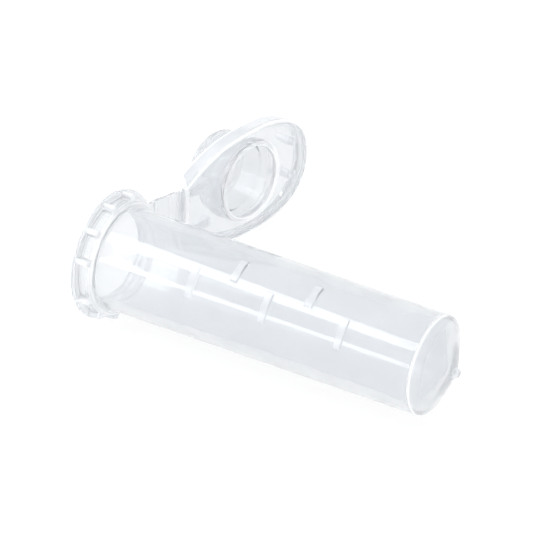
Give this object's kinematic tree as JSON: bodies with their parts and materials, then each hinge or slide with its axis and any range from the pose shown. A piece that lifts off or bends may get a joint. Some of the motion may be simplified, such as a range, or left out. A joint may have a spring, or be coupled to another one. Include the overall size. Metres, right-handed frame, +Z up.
{
  "type": "microcentrifuge tube",
  "caption": "Clear plastic microcentrifuge tube lying on its side, with a blunt conical base, ribbed mouth collar, raised graduation bars and a hinged snap lid folded open.",
  "frame": {"origin": "on the table, under the middle of the whole object as it lies on its side with the lid open", "axes": "+X along the tube from its mouth to its tip, +Y from the tube towards the open lid, +Z up, along both hinge lines"},
  "size_m": [0.043, 0.0376, 0.0137],
  "materials": {
    "clear_wall": "clear natural polypropylene, glossy with a faint cool haze",
    "clear_thick": "the same clear polypropylene where it is thick, so it looks whiter"
  },
  "bodies": {
    "tube": {"mouth_flange": "clear_thick", "collar_band": "clear_thick", "collar_shoulder": "clear_thick", "hinge_root": "clear_thick", "barrel_wall": "clear_wall", "conical_base": "clear_wall", "tip_nub": "clear_thick", "graduation_bar_1500ul": "clear_thick", "graduation_bar_1000ul": "clear_thick", "graduation_bar_500ul": "clear_thick", "graduation_bar_1250ul": "clear_thick", "graduation_bar_750ul": "clear_thick"},
    "strap": {"hinge_strap": "clear_wall", "crease_film": "clear_thick"},
    "lid": {"lid_plate": "clear_wall", "lid_skirt": "clear_wall", "plug_wall": "clear_wall", "plug_floor": "clear_wall", "seal_bead": "clear_thick", "hinge_leaf": "clear_thick", "hinge_gusset_upper": "clear_thick", "hinge_gusset_lower": "clear_thick", "front_latch_upper": "clear_thick", "front_latch_lower": "clear_thick"}
  },
  "joints": [
    {"name": "strap_bend", "type": "hinge", "parent": "tube", "child": "strap", "pos_m": [-0.01877, -0.00467, 0.00685], "axis": [0, 0, 1], "range_deg": [-6.6, 33.3]},
    {"name": "lid_fold", "type": "hinge", "parent": "strap", "child": "lid", "pos_m": [-0.01777, -0.00132, 0.00685], "axis": [0, 0, 1], "range_deg": [-30, 154.41]}
  ],
  "couplings": [
    {"joint": "strap_bend", "follows": "lid_fold", "ratio": 0.21528}
  ]
}
